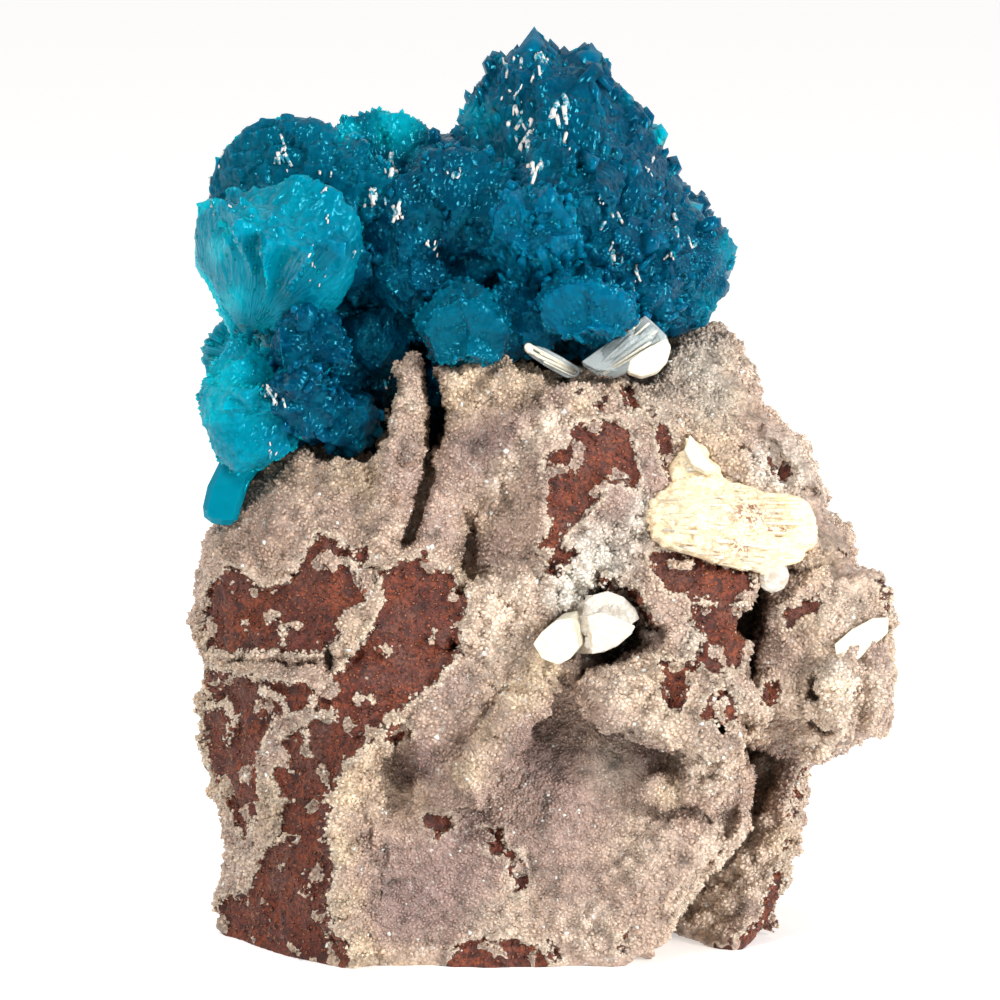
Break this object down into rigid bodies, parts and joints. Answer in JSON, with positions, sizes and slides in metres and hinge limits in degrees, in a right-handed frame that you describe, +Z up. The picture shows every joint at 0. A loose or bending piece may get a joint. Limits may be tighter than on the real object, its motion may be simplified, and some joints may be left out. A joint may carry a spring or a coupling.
{
  "type": "cavansite on matrix",
  "caption": "Mineral specimen: a cluster of radiating blue cavansite sprays and pale stilbite crystals grown on a crusted piece of basalt breccia.",
  "frame": {"origin": "middle of the footprint on the surface that the specimen rests on", "axes": "+Z up, +X to the right and +Y away from someone who looks at the side with the crystals and the open bowl"},
  "size_m": [0.0484, 0.0374, 0.0627],
  "materials": {
    "matrix": "rough red-brown basalt breccia, mostly under a sugary pinkish-grey and cream quartz crust",
    "cavansite": "vitreous, translucent vivid greenish blue",
    "stilbite": "pearly to vitreous, white, cream and clear"
  },
  "bodies": {
    "root": {"matrix": "matrix", "cavansite": "cavansite", "stilbite_fan_top": "stilbite", "stilbite_blade_top": "stilbite", "stilbite_sheaf_right": "stilbite", "stilbite_block_middle": "stilbite", "stilbite_wedge_right": "stilbite"}
  },
  "joints": []
}
